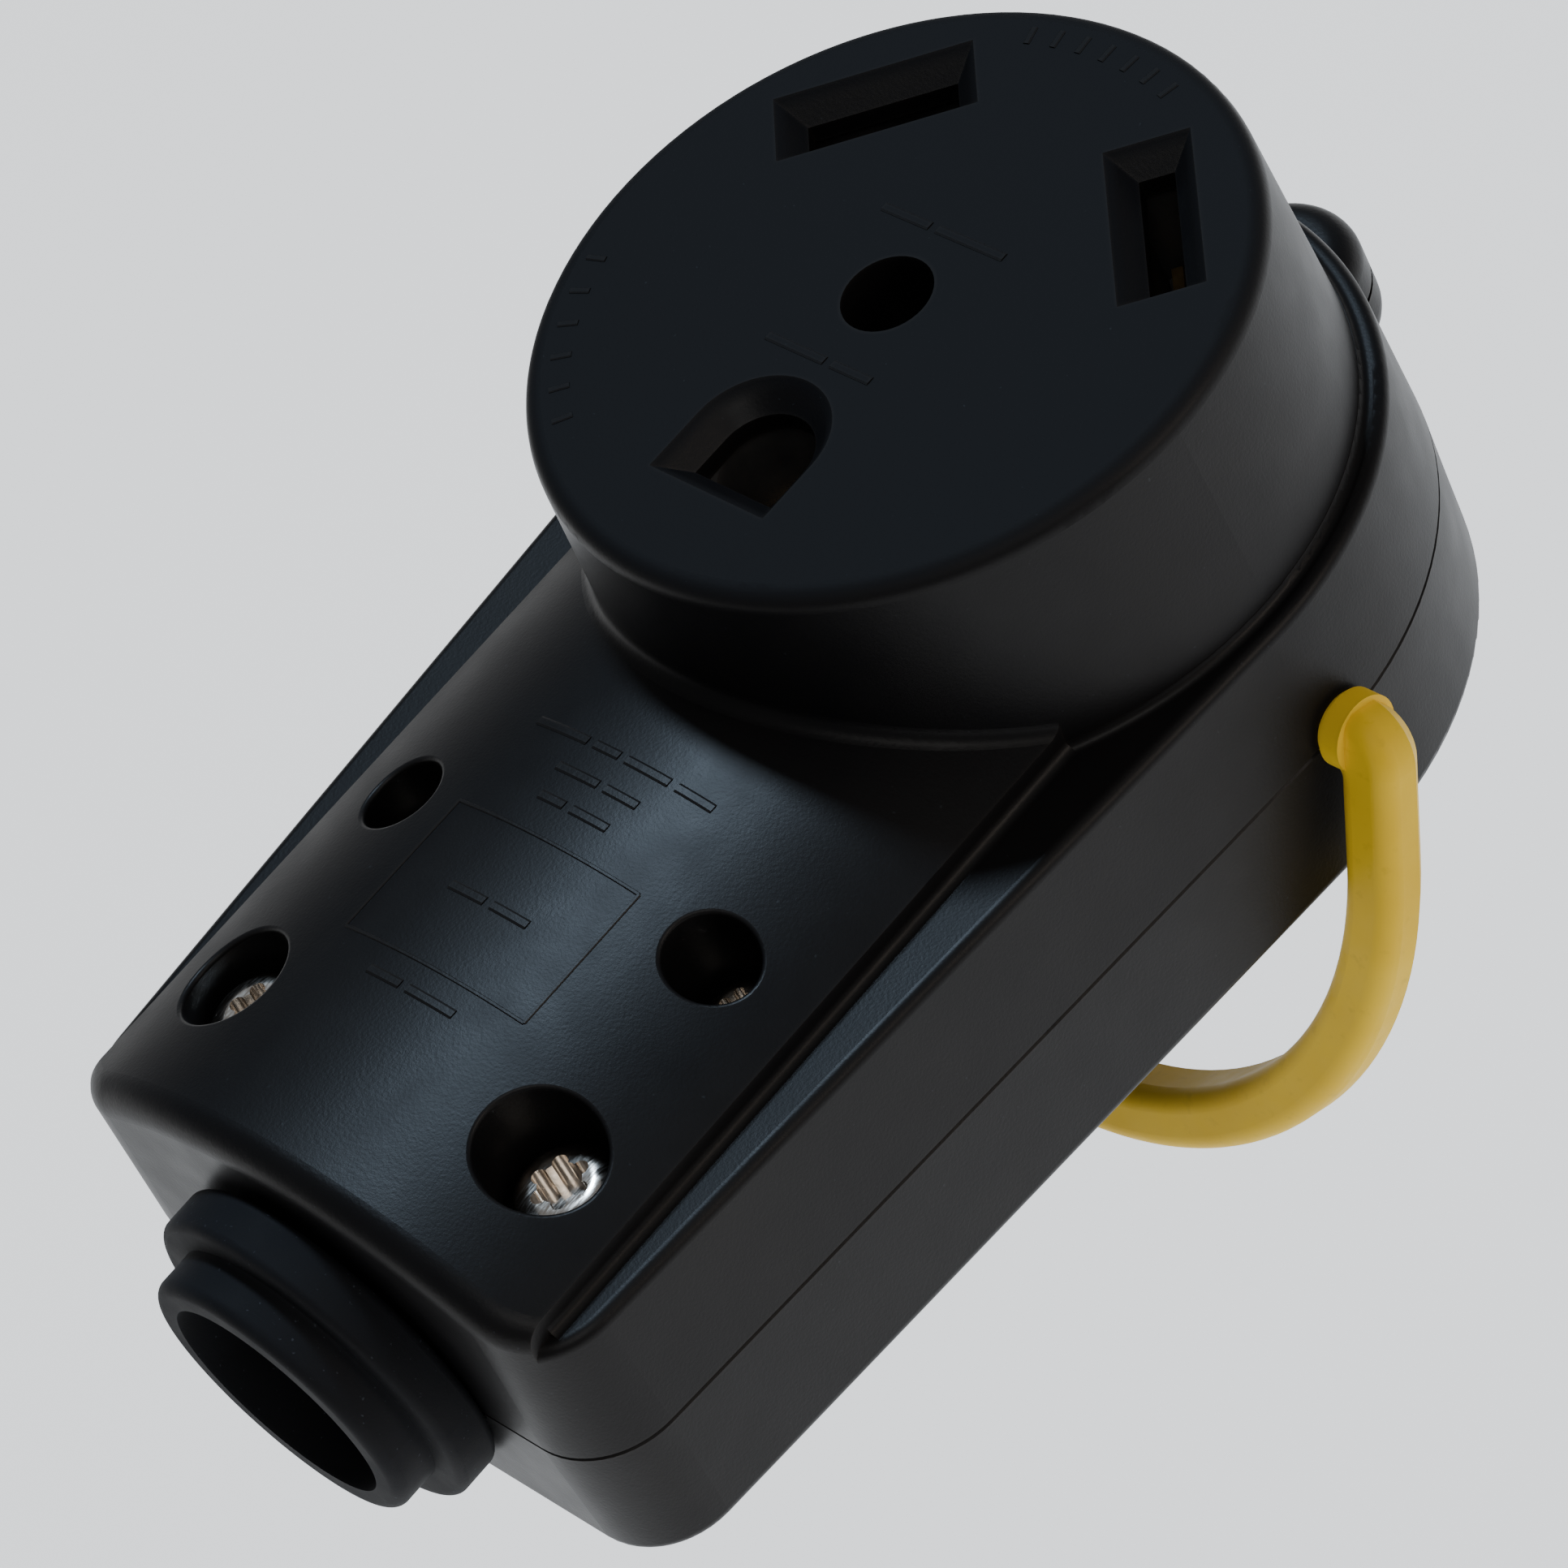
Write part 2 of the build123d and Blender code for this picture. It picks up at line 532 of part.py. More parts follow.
def terminal_screw(name):
    """Screw that comes up from below and pulls the clamp plate against the foot."""
    x, y = terminal_places()[name]
    top = FOOT_Z - LEAF - PLATE_T - 0.1
    low = top - TERMINAL_HEAD_T
    head = turned(TERMINAL_HEAD_R, TERMINAL_HEAD_R, low, top)
    head = chamfer(head.edges().group_by(Axis.Z)[0], TIP_BEVEL)
    width, depth = DRIVE_SLOT
    head -= block(-4, 4, -width / 2, width / 2, low - 1, low + depth)
    return Pos(x, y, 0) * (head + turned(TERMINAL_R, TERMINAL_R, top, FOOT_Z + TERMINAL_REACH))


def clamp_plates():
    """Three square pressure plates, one under each terminal foot."""
    top = FOOT_Z - LEAF - 0.05
    plates = []
    for name, (x, y) in terminal_places().items():
        plate = block(-PLATE_HALF_W, PLATE_HALF_W, -PLATE_HALF_W, PLATE_HALF_W, top - PLATE_T, top)
        plate = fillet(plate.edges().filter_by(Axis.Z), PLATE_CORNER_R)
        plate -= turned(TERMINAL_R + SEAT_GAP, TERMINAL_R + SEAT_GAP, top - 3, top + 1)
        plates.append(Pos(x, y, 0) * Rot(0, 0, BLADE_ANGLES.get(name, 0)) * plate)
    return Compound(plates)


def contact_carrier():
    """Moulded insulator under the face, with a pocket for each contact."""
    body = turned(CARRIER_R, CARRIER_R, CARRIER_FLOOR_Z, CARRIER_TOP_Z)
    column_r = FACE_SCREW["well"] + COLUMN_WALL + SEAT_GAP
    body -= post(0, 0, column_r, FACE_COLUMN_Z - SEAT_GAP, FACE_Z)
    body -= post(0, 0, FACE_SCREW["shank"] + 2 * SHANK_GAP, 0, FACE_Z)
    x = JAW_GAP / 2 + LEAF + SPRING_T + POCKET_GAP
    y = JAW_L / 2 + SPRING_T + POCKET_GAP + SEAT_GAP
    for name in BLADE_ANGLES:
        pocket = block(-x, x, -y, y, JAW_FLOOR_Z - LEAF - SEAT_GAP, FACE_Z) + strip_slot()
        body -= blade_place(name) * pocket
    body -= post(0, GROUND_Y, PIN_SOCKET_R + LEAF + POCKET_GAP, JAW_FLOOR_Z - LEAF - SEAT_GAP, FACE_Z)
    body -= ground_slot()
    for x, y in carrier_screw_places():
        body -= post(x, y, CARRIER_SCREW_R + FIT, 0, CARRIER_FLOOR_Z + CARRIER_SCREW_DEPTH + 1)
    return body


def strip_slot():
    """Cutter for the strip that runs down from a blade jaw."""
    x, y = LEAF / 2 + STRIP_GAP, STRIP_W / 2 + STRIP_GAP
    return block(-x, x, -y, y, RETAINER_Z[0] - 1, JAW_FLOOR_Z)


def ground_slot():
    """Cutter for the strip that runs down from the ground sleeve."""
    x, y = STRIP_W / 2 + STRIP_GAP, GROUND_Y - PIN_SOCKET_R - LEAF
    return block(-x, x, y - STRIP_GAP, y + LEAF + STRIP_GAP, RETAINER_Z[0] - 1, JAW_FLOOR_Z + 4)


def contact_retainer():
    """Insulating plate screwed under the carrier, which keeps the contacts in."""
    low, high = RETAINER_Z
    plate = turned(CARRIER_R - 0.4, CARRIER_R - 0.4, low, high)
    plate -= post(0, 0, FACE_SCREW["shank"] + 2 * SHANK_GAP, 0, FACE_Z)
    for name in BLADE_ANGLES:
        plate -= blade_place(name) * strip_slot()
    plate -= ground_slot()
    for x, y in carrier_screw_places():
        plate -= post(x, y, CARRIER_SCREW_R + SHANK_GAP, 0, FACE_Z)
    return plate


def carrier_screw_places():
    """Both places of the screws that hold the retainer, either side of the ground."""
    r, a = CARRIER_SCREW_AT[0], radians(CARRIER_SCREW_AT[1])
    return [(r * cos(a), -r * sin(a)), (-r * cos(a), -r * sin(a))]


def carrier_screws():
    """Two short screws that hold the retainer to the carrier, heads down."""
    low = RETAINER_Z[0] - FIT
    r, height = CARRIER_SCREW_HEAD
    screw = fillet(turned(r, r, low - height, low).edges().group_by(Axis.Z)[0], height / 2)
    width, depth = DRIVE_SLOT
    screw -= block(-3, 3, -width / 2, width / 2, low - height - 1, low - height + depth * 0.7)
    screw += turned(CARRIER_SCREW_R, CARRIER_SCREW_R, low, CARRIER_FLOOR_Z + CARRIER_SCREW_DEPTH)
    return Compound([Pos(x, y, 0) * screw for x, y in carrier_screw_places()])


NODES = {
    "front_housing_head": lambda: front_housing_ends()[0],
    "front_housing_tail": lambda: front_housing_ends()[1],
    "rear_housing": rear_housing,
    "cord_grommet": cord_grommet,
    "upper_cord_clamp": lambda: cord_clamp(1),
    "lower_cord_clamp": lambda: cord_clamp(-1),
    "pull_handle": pull_handle,
    "tail_screws": lambda: screw_set(TAIL_SCREW, -8.4),
    "middle_screws": lambda: screw_set(MID_SCREW, -5.4),
    "face_screw": lambda: screw_set(FACE_SCREW, 1.0),
    "tail_inserts": lambda: insert_set(TAIL_SCREW),
    "middle_inserts": lambda: insert_set(MID_SCREW),
    "face_insert": lambda: insert_set(FACE_SCREW),
    "contact_carrier": contact_carrier,
    "contact_retainer": contact_retainer,
    "carrier_screws": carrier_screws,
    "neutral_contact": lambda: blade_contact("neutral"),
    "hot_contact": lambda: blade_contact("hot"),
    "ground_contact": ground_contact,
    "neutral_jaw_spring": lambda: jaw_spring("neutral"),
    "hot_jaw_spring": lambda: jaw_spring("hot"),
    "neutral_terminal_screw": lambda: terminal_screw("neutral"),
    "hot_terminal_screw": lambda: terminal_screw("hot"),
    "ground_terminal_screw": lambda: terminal_screw("ground"),
    "terminal_clamp_plates": clamp_plates,
}


def main():
    os.makedirs("parts", exist_ok=True)
    for name, make in NODES.items():
        export_step(Pos(0, 0, -REAR_Z) * make(), f"parts/{name}.step")


if __name__ == "__main__":
    main()
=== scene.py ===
import json
import math

import bmesh
import bpy
from mathutils import Matrix, Vector


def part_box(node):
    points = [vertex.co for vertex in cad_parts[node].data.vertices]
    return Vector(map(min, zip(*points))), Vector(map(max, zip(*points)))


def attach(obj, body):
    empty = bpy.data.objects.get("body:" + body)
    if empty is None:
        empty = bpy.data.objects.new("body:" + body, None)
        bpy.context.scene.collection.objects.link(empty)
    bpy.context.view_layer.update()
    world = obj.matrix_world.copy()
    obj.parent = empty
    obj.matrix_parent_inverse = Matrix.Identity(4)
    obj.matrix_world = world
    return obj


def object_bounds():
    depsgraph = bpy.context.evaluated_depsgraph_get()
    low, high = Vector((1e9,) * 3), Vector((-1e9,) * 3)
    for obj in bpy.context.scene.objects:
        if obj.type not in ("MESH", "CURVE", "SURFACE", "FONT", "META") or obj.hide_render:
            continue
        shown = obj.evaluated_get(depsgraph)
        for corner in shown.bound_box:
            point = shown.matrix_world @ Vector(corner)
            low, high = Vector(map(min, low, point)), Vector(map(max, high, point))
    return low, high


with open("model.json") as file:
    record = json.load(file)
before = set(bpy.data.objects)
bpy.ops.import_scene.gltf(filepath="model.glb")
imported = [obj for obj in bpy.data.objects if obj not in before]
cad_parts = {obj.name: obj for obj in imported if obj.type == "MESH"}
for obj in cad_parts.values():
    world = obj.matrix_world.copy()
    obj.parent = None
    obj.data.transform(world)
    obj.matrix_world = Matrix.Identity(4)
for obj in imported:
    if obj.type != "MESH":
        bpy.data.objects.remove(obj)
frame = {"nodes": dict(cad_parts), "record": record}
cad_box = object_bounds()
MM = 0.001

# Main levels of the object, read from the frame.
HEAD_LOW, HEAD_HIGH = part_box("front_housing_head")
FACE_Z = HEAD_HIGH.z    # socket face
SPLIT_Z = HEAD_LOW.z    # where the front and rear halves meet
CUT_Y = HEAD_LOW.y      # plane on which the one-piece front shell is divided into two nodes


# ---- camera ----------------------------------------------------------------------
def look_from(aim, azimuth, elevation, distance, roll, lens, shift):
    """Camera at a distance from a point, turned about its own line of sight by roll."""
    a, e = math.radians(azimuth), math.radians(elevation)
    back = Vector((math.sin(a) * math.cos(e), -math.cos(a) * math.cos(e), math.sin(e)))
    data = bpy.data.cameras.new("camera")
    data.lens = lens
    data.sensor_width = 36
    data.shift_x, data.shift_y = shift
    cam = bpy.data.objects.new("camera", data)
    bpy.context.scene.collection.objects.link(cam)
    turn = (-back).to_track_quat("-Z", "Y").to_matrix().to_4x4()
    spin = Matrix.Rotation(math.radians(roll), 4, "Z")
    cam.matrix_world = Matrix.Translation(aim + back * distance) @ turn @ spin
    data.clip_start, data.clip_end = 0.01, 20
    bpy.context.scene.camera = cam


AIM = Vector((-5.2 * MM, -22.2 * MM, SPLIT_Z))   # near the middle of the object
CAMERA_DISTANCE = 502.1 * MM
look_from(AIM, azimuth=64.87, elevation=45.18, distance=CAMERA_DISTANCE, roll=-29.7, lens=169.1,
          shift=(0.0052, -0.0003))


# ---- node materials ---------------------------------------------------------------
COLOUR_MIX_INPUTS = (0, 6, 7)   # factor and the two colours of a Mix node set to colour
COLOUR_MIX_OUTPUT = 2
CUT_BLEND = (0.6 * MM, 0.8 * MM)   # distance from the cut over which worn edges come back


class Shader:
    """A Principled material and short ways to add nodes to it."""

    def __init__(self, name, **sockets):
        self.mat = bpy.data.materials.new(name)
        self.mat.use_nodes = True
        self.nodes, self.links = self.mat.node_tree.nodes, self.mat.node_tree.links
        self.bsdf = self.nodes["Principled BSDF"]
        for key, value in sockets.items():
            self.bsdf.inputs[key.replace("_", " ")].default_value = value
        self.place = self.nodes.new("ShaderNodeTexCoord").outputs["Object"]

    def node(self, kind, **inputs):
        made = self.nodes.new("ShaderNode" + kind)
        for key, value in inputs.items():
            socket = made.inputs[key.replace("_", " ")]
            if isinstance(value, bpy.types.NodeSocket):
                self.links.new(value, socket)
            else:
                socket.default_value = value
        return made

    def noise(self, size_mm, detail=2.0, roughness=0.5):
        """Noise whose features are about size_mm across."""
        made = self.node("TexNoise", Vector=self.place, Scale=1000 / size_mm, Detail=detail,
                         Roughness=roughness)
        return made.outputs["Fac"]

    def ramp(self, value, *stops):
        made = self.node("ValToRGB", Fac=value)
        ramp = made.color_ramp
        while len(ramp.elements) < len(stops):
            ramp.elements.new(0.5)
        for element, (at, colour) in zip(ramp.elements, stops):
            element.position = at
            element.color = colour if len(colour) == 4 else (*colour, 1)
        return made.outputs["Color"]

    def grade(self, value, low, high, start=0.0, end=1.0):
        """Maps a value linearly from start..end to low..high."""
        made = self.node("MapRange", Value=value)
        made.inputs["From Min"].default_value, made.inputs["From Max"].default_value = start, end
        made.inputs["To Min"].default_value, made.inputs["To Max"].default_value = low, high
        return made.outputs["Result"]

    def mix(self, share, a, b):
        """Blends colour a towards colour b by share."""
        made = self.nodes.new("ShaderNodeMix")
        made.data_type = "RGBA"
        for socket, value in zip((made.inputs[i] for i in COLOUR_MIX_INPUTS), (share, a, b)):
            if isinstance(value, bpy.types.NodeSocket):
                self.links.new(value, socket)
            elif isinstance(value, tuple):
                socket.default_value = (*value, 1)
            else:
                socket.default_value = value
        return made.outputs[COLOUR_MIX_OUTPUT]

    def above(self, level, blend_mm):
        """0 below a height, 1 above it, with a blend of the given thickness."""
        height = self.node("SeparateXYZ", Vector=self.place).outputs["Z"]
        return self.grade(height, 0, 1, level - blend_mm * MM, level + blend_mm * MM)

    def away_from_cut(self):
        """0 beside the plane that divides the front shell, 1 a little way from it."""
        along = self.node("SeparateXYZ", Vector=self.place).outputs["Y"]
        offset = self.node("Math", Value=along)
        offset.operation = "SUBTRACT"
        offset.inputs[1].default_value = CUT_Y
        gap = self.node("Math", Value=offset.outputs["Value"])
        gap.operation = "ABSOLUTE"
        return self.grade(gap.outputs["Value"], 0, 1, *CUT_BLEND)

    def edges(self, radius_mm):
        """Near 1 along worn edges, 0 elsewhere: how far a rounded normal leaves the true one."""
        soft = self.node("Bevel", Radius=radius_mm * MM).outputs["Normal"]
        dot = self.node("VectorMath")
        dot.operation = "DOT_PRODUCT"
        self.links.new(soft, dot.inputs[0])
        self.links.new(self.node("NewGeometry").outputs["Normal"], dot.inputs[1])
        return self.grade(dot.outputs["Value"], 1, 0, 0.9, 0.995)

    def bumps(self, *layers):
        """Chains bump nodes: each layer is (height socket, strength, distance in mm)."""
        normal = None
        for height, strength, depth_mm in layers:
            made = self.node("Bump", Height=height, Strength=strength, Distance=depth_mm * MM)
            if normal:
                self.links.new(normal, made.inputs["Normal"])
            normal = made.outputs["Normal"]
        self.links.new(normal, self.bsdf.inputs["Normal"])

    def drive(self, **sockets):
        for key, value in sockets.items():
            self.links.new(value, self.bsdf.inputs[key.replace("_", " ")])


def black_plastic():
    """Satin black moulding: fine spark texture, faint flow marks, paler edges, dust.

    The socket face is duller than the body, and its darker colour is painted shade.
    """
    s = Shader("moulded_black", IOR=1.45, Specular_IOR_Level=0.2)
    cloud = s.noise(14, 2)
    flow = s.noise(4, 2)
    on_face = s.above(FACE_Z - 0.5 * MM, 0.3)
    colour = s.ramp(cloud, (0.3, (0.0040, 0.0040, 0.0048)), (0.7, (0.0062, 0.0058, 0.0062)))
    # painted shade: the socket face gets a darker colour than the body
    colour = s.mix(on_face, colour, (0.0032, 0.0032, 0.0042))
    wear = s.node("Math", Value=s.grade(s.edges(0.5), 0, 0.4))
    wear.operation = "MULTIPLY"
    s.links.new(s.away_from_cut(), wear.inputs[1])
    colour = s.mix(wear.outputs["Value"], colour, (0.022, 0.019, 0.017))
    dust = s.grade(s.noise(0.45, 1), 0, 0.25, 0.77, 0.83)
    colour = s.mix(dust, colour, (0.05, 0.06, 0.07))
    body_rough = s.grade(flow, 0.38, 0.43, 0.3, 0.7)
    rough = s.node("MapRange", Value=on_face)
    s.links.new(body_rough, rough.inputs["To Min"])
    rough.inputs["To Max"].default_value = 0.72
    s.drive(Base_Color=colour, Roughness=rough.outputs["Result"])
    s.bumps((s.noise(0.26, 3, 0.6), 0.3, 0.05), (s.noise(1.1, 2), 0.05, 0.05))
    return s.mat


def black_rubber():
    """Matt rubber with dust specks and slightly greyer edges."""
    s = Shader("moulded_rubber", Specular_IOR_Level=0.16)
    cloud = s.noise(4, 3)
    colour = s.ramp(cloud, (0.3, (0.0050, 0.0054, 0.0070)), (0.7, (0.0078, 0.0086, 0.0110)))
    colour = s.mix(s.grade(s.edges(0.6), 0, 0.4), colour, (0.022, 0.023, 0.027))
    specks = s.grade(s.noise(0.35, 1), 0, 0.45, 0.73, 0.79)
    colour = s.mix(specks, colour, (0.07, 0.08, 0.10))
    s.drive(Base_Color=colour, Roughness=s.grade(cloud, 0.66, 0.8, 0.3, 0.7))
    s.bumps((s.noise(0.2, 3, 0.7), 0.4, 0.05), (s.noise(1.4, 2), 0.1, 0.12))
    return s.mat


def yellow_plastic():
    """Safety yellow moulding with faint patches of amber grime and paler edges."""
    s = Shader("moulded_yellow", IOR=1.46, Specular_IOR_Level=0.14)
    cloud = s.noise(7, 3)
    colour = s.ramp(cloud, (0.3, (0.78, 0.50, 0.022)), (0.7, (0.86, 0.57, 0.032)))
    colour = s.mix(s.grade(s.edges(0.5), 0, 0.4), colour, (0.66, 0.43, 0.03))
    grime = s.grade(s.noise(1.1, 4), 0, 0.16, 0.60, 0.76)
    colour = s.mix(grime, colour, (0.24, 0.12, 0.008))
    s.drive(Base_Color=colour, Roughness=s.grade(s.noise(1.6, 3), 0.44, 0.56, 0.3, 0.7))
    s.bumps((s.noise(0.35, 3, 0.6), 0.2, 0.04), (cloud, 0.06, 0.2))
    return s.mat


def nickel():
    """Bright, slightly warm plating with fine scratches along one direction."""
    s = Shader("nickel_plate", Metallic=1.0)
    stretch = s.node("Mapping", Vector=s.place)
    stretch.inputs["Scale"].default_value = (5.0, 0.7, 1.0)
    streaks = s.node("TexNoise", Vector=stretch.outputs["Vector"], Scale=1400.0, Detail=3.0)
    scratch = streaks.outputs["Fac"]
    colour = s.ramp(s.noise(0.9, 3), (0.3, (0.68, 0.60, 0.52)), (0.7, (0.86, 0.81, 0.75)))
    s.drive(Base_Color=colour, Roughness=s.grade(scratch, 0.10, 0.26, 0.3, 0.7))
    s.bumps((scratch, 0.08, 0.02), (s.noise(0.5, 2), 0.06, 0.04))
    return s.mat


def metal(name, low, high, rough):
    """Plain worked metal for the inner pieces."""
    s = Shader(name, Metallic=1.0)
    tone = s.noise(1.3, 4)
    s.drive(Base_Color=s.ramp(tone, (0.3, low), (0.7, high)),
            Roughness=s.grade(tone, rough, rough + 0.16, 0.3, 0.7))
    s.bumps((s.noise(0.25, 3), 0.12, 0.03))
    return s.mat


def inner_plastic(name, low, high):
    """Moulded insulator and clamp material."""
    s = Shader(name, IOR=1.5)
    tone = s.noise(3, 3)
    s.drive(Base_Color=s.ramp(tone, (0.3, low), (0.7, high)),
            Roughness=s.grade(tone, 0.45, 0.62, 0.3, 0.7))
    s.bumps((s.noise(0.3, 3), 0.3, 0.04))
    return s.mat


def green_screw():
    """Green-dyed plating on the ground terminal screw."""
    s = Shader("green_dye", Metallic=0.7)
    tone = s.noise(0.8, 3)
    s.drive(Base_Color=s.ramp(tone, (0.3, (0.02, 0.22, 0.07)), (0.7, (0.05, 0.34, 0.12))),
            Roughness=s.grade(tone, 0.28, 0.42, 0.3, 0.7))
    s.bumps((s.noise(0.25, 3), 0.12, 0.03))
    return s.mat


LOOKS = {
    "black_plastic": black_plastic(),
    "black_rubber": black_rubber(),
    "yellow_plastic": yellow_plastic(),
    "nickel_screw": nickel(),
    "clamp_nylon": inner_plastic("clamp_moulding", (0.04, 0.04, 0.045), (0.06, 0.06, 0.065)),
    "carrier_resin": inner_plastic("carrier_moulding", (0.02, 0.02, 0.022), (0.035, 0.033, 0.033)),
    "brass_insert": metal("turned_brass", (0.60, 0.42, 0.17), (0.78, 0.60, 0.30), 0.25),
    "contact_brass": metal("stamped_brass", (0.30, 0.20, 0.08), (0.46, 0.33, 0.15), 0.34),
    "terminal_brass": metal("brass_screw", (0.64, 0.46, 0.20), (0.82, 0.64, 0.33), 0.20),
    "zinc_steel": metal("zinc_plate", (0.56, 0.57, 0.58), (0.74, 0.75, 0.76), 0.24),
    "spring_steel": metal("spring_strip", (0.42, 0.42, 0.42), (0.56, 0.56, 0.55), 0.22),
    "ground_green": green_screw(),
}
for part in frame["record"]["subparts"]:
    node = frame["nodes"][part["node"]]
    node.data.materials.clear()
    node.data.materials.append(LOOKS[part["material_slot"]])


# ---- raised marks -------------------------------------------------------------------
# The object's embossed wording is replaced by blank bars and a plain outline.
MARK_H = 0.09 * MM      # how far a mark stands proud
MARK_SINK = 0.12 * MM   # how far its root reaches into the surface
MARK_SHOULDER = 0.35 * MARK_H
# Cross-section of a bar: (share of its width, height over the surface).
BAR_SECTION = ((-0.5, -MARK_SINK), (-0.5, MARK_SHOULDER), (-0.3, MARK_H),
               (0.3, MARK_H), (0.5, MARK_SHOULDER), (0.5, -MARK_SINK))
OUTLINE_WIDTH = 0.28 * MM
TICK_WIDTH = 0.5 * MM
ROW_WIDTH = 0.75 * MM
ROW_GAP = 0.7           # between the bars of a row, in millimetres
OUTLINE_CENTRE = (-0.2, -46.8)   # millimetres, between the screw wells
OUTLINE_HALF = (8.8, 5.75)
TICK_RADIUS = 23.2      # middle of the ticks on the face, in millimetres
TICK_HALF = 0.75
TICK_GROUPS = ((74, 106, 7), (196, 232, 6))   # first angle, last angle, count


def add_piece(name, bm, slot, body="connector"):
    """Makes a mesh piece of the object that rides on a body and has a material slot."""
    mesh = bpy.data.meshes.new(name)
    bmesh.ops.recalc_face_normals(bm, faces=bm.faces)
    bm.to_mesh(mesh)
    bm.free()
    piece = bpy.data.objects.new(name, mesh)
    bpy.context.scene.collection.objects.link(piece)
    mesh.materials.append(LOOKS[slot])
    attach(piece, body)
    return piece


def bar(bm, path, width, height_at):
    """Closed raised bar with bevelled sides along a flat path; height_at gives the surface."""
    rings = []
    for i, p in enumerate(path):
        ahead = path[min(i + 1, len(path) - 1)] - path[max(i - 1, 0)]
        side = Vector((-ahead.y, ahead.x)).normalized()
        ring = []
        for across, up in BAR_SECTION:
            q = p + side * (across * width)
            ring.append(bm.verts.new((q.x, q.y, height_at(q) + up)))
        rings.append(ring)
    count = len(rings[0])
    for a, b in zip(rings, rings[1:]):
        for k in range(count):
            bm.faces.new((a[k], a[(k + 1) % count], b[(k + 1) % count], b[k]))
    bm.faces.new(rings[0])
    bm.faces.new(list(reversed(rings[-1])))


def surface_probe(node_name):
    """Height of a CAD node's upper surface under a flat point, by a ray from above."""
    target = frame["nodes"][node_name]

    def height_at(q):
        hit, where, _, _ = target.ray_cast(Vector((q.x, q.y, FACE_Z + 0.01)), Vector((0, 0, -1)))
        if not hit:
            raise ValueError("no surface under a mark")
        return where.z
    return height_at


def line(a, b, steps):
    """Points along a straight run between two places given in millimetres."""
    a, b = Vector(a) * MM, Vector(b) * MM
    return [a.lerp(b, i / steps) for i in range(steps + 1)]


bpy.context.view_layer.update()
on_head = surface_probe("front_housing_head")
on_tail = surface_probe("front_housing_tail")


def panel_outline():
    """Plain rectangular outline between the screw wells."""
    bm = bmesh.new()
    (cx, cy), (half_x, half_y) = OUTLINE_CENTRE, OUTLINE_HALF
    corners = [(cx - half_x, cy - half_y), (cx + half_x, cy - half_y),
               (cx + half_x, cy + half_y), (cx - half_x, cy + half_y)]
    for a, b in zip(corners, corners[1:] + corners[:1]):
        bar(bm, line(a, b, 12), OUTLINE_WIDTH, on_tail)
    return add_piece("panel_outline", bm, "black_plastic")


def blank_row(bm, x, y, lengths, surface):
    """A centred row of blank bars of the given lengths, in millimetres."""
    total = sum(lengths) + ROW_GAP * (len(lengths) - 1)
    at = x - total / 2
    for length in lengths:
        bar(bm, line((at, y), (at + length, y), 5), ROW_WIDTH, surface)
        at += length + ROW_GAP


def panel_rows():
    """Rows of blank bars on the crowned panel."""
    bm = bmesh.new()
    for y, lengths in ((-33.4, (5.2, 2.4, 4.0, 3.2)), (-35.9, (4.0, 3.0)), (-38.3, (2.4, 3.4)),
                       (-46.8, (3.4, 3.4)), (-54.6, (3.2, 4.4))):
        blank_row(bm, 0, y, lengths, on_tail)
    return add_piece("panel_bars", bm, "black_plastic")


def face_rows():
    """Two rows of blank bars on the socket face, either side of the centre hole."""
    bm = bmesh.new()
    blank_row(bm, 0, 5.9, (4.4, 6.2), on_head)
    blank_row(bm, -0.6, -6.4, (5.4, 3.6), on_head)
    return add_piece("face_bars", bm, "black_plastic")


def face_rim_marks():
    """Short radial ticks at the rim, in two groups, on the face."""
    bm = bmesh.new()
    for first, last, count in TICK_GROUPS:
        for k in range(count):
            a = math.radians(first + (last - first) * k / (count - 1))
            radii = (TICK_RADIUS - TICK_HALF, TICK_RADIUS + TICK_HALF)
            ends = [(r * math.cos(a), r * math.sin(a)) for r in radii]
            bar(bm, line(*ends, 3), TICK_WIDTH, on_head)
    return add_piece("rim_ticks", bm, "black_plastic")


panel_outline()
panel_rows()
face_rows()
face_rim_marks()


# ---- floor and light ------------------------------------------------------------------
FLOOR_HALF = 6.0
FLOOR_DROP = 0.35       # how far the floor lies below the object
FLOOR_GLOW = 1.0
SKY_STRENGTH = 0.16
LIGHT_AIM_Z = SPLIT_Z + 0.015   # height that the lights face
HEAD_Y = 0.0            # the round head's centre
WINDOW_Y = 0.04         # past the head, so that the cool glint falls on the panel


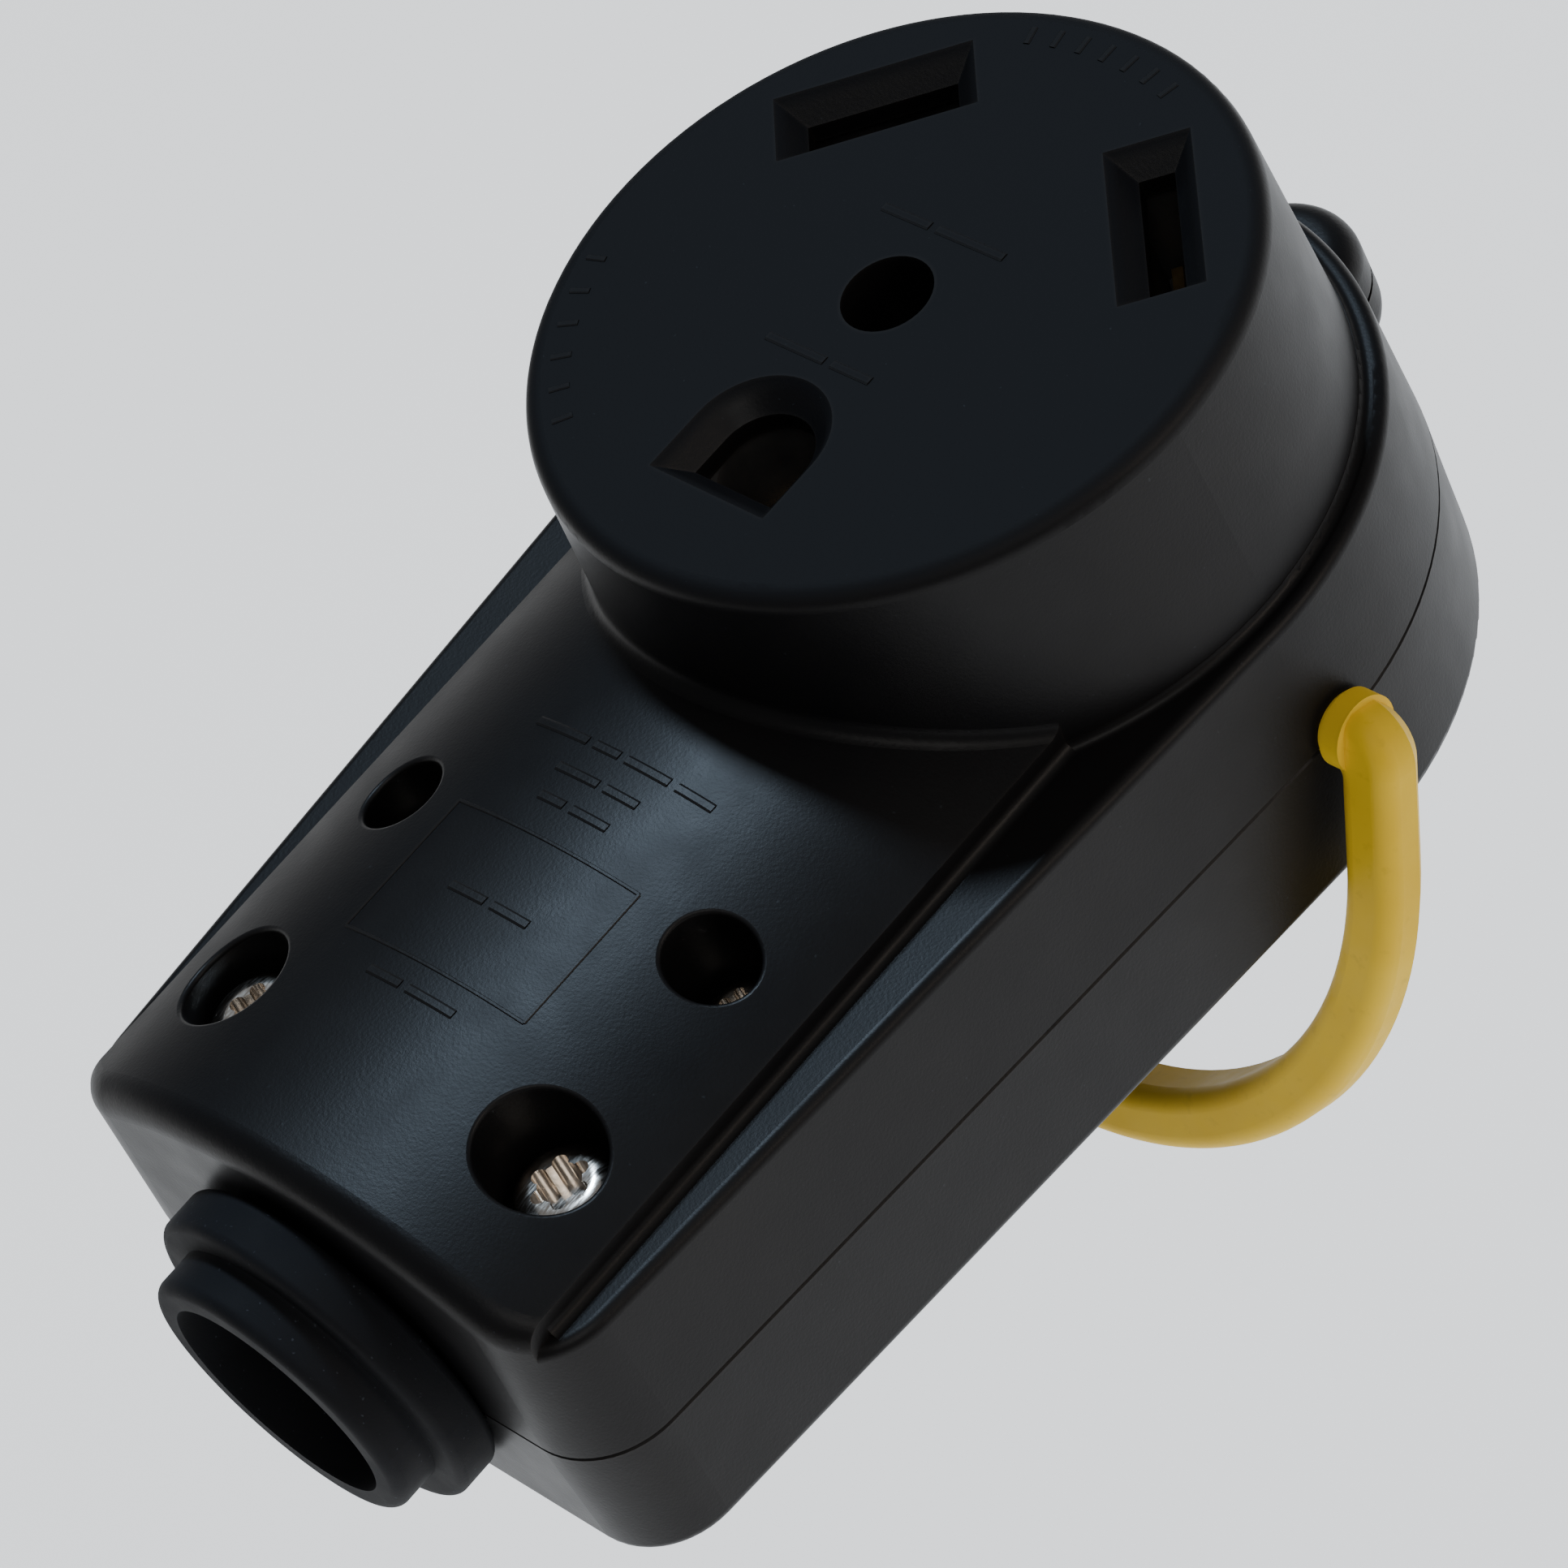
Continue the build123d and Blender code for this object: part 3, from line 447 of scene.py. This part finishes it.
def floor():
    """Wide pale plane below the object."""
    bm = bmesh.new()
    low = cad_box[0].z - FLOOR_DROP
    for x, y in ((-1, -1), (1, -1), (1, 1), (-1, 1)):
        bm.verts.new((x * FLOOR_HALF, y * FLOOR_HALF, low))
    bm.faces.new(bm.verts)
    mesh = bpy.data.meshes.new("floor")
    bm.to_mesh(mesh)
    bm.free()
    plane = bpy.data.objects.new("floor", mesh)
    bpy.context.scene.collection.objects.link(plane)
    pale = Shader("pale_floor", Roughness=0.9, Specular_IOR_Level=0.1)
    tone = pale.noise(400, 2)
    pale.bsdf.inputs["Emission Color"].default_value = (1, 1, 1, 1)
    pale.bsdf.inputs["Emission Strength"].default_value = FLOOR_GLOW
    pale.drive(Base_Color=pale.ramp(tone, (0.3, (0.93, 0.93, 0.93)), (0.7, (0.96, 0.96, 0.96))))
    mesh.materials.append(pale.mat)


def soft_light(name, target_y, azimuth, elevation, distance, size, watts, colour):
    """Area light that faces a point on the object's long axis."""
    a, e = math.radians(azimuth), math.radians(elevation)
    back = Vector((math.sin(a) * math.cos(e), -math.cos(a) * math.cos(e), math.sin(e)))
    data = bpy.data.lights.new(name, "AREA")
    data.shape, data.size, data.energy, data.color = "DISK", size, watts, colour
    lamp = bpy.data.objects.new(name, data)
    bpy.context.scene.collection.objects.link(lamp)
    lamp.location = Vector((0, target_y, LIGHT_AIM_Z)) + back * distance
    lamp.rotation_mode = "QUATERNION"
    lamp.rotation_quaternion = (-back).to_track_quat("-Z", "Y")
    lamp.visible_camera = False


floor()
soft_light("window_cool", WINDOW_Y, -124, 62, 0.9, 0.14, 6.0, (0.62, 0.80, 1.0))
soft_light("side_warm", HEAD_Y, 112, 24, 0.8, 0.35, 1.3, (1.0, 0.86, 0.74))
soft_light("front_soft", HEAD_Y, 62, 58, 1.1, 0.6, 2.1, (1.0, 0.97, 0.92))

world = bpy.data.worlds.new("studio")
bpy.context.scene.world = world
world.use_nodes = True
sky = world.node_tree.nodes["Background"]
sky.inputs["Color"].default_value = (1, 1, 1, 1)
sky.inputs["Strength"].default_value = SKY_STRENGTH
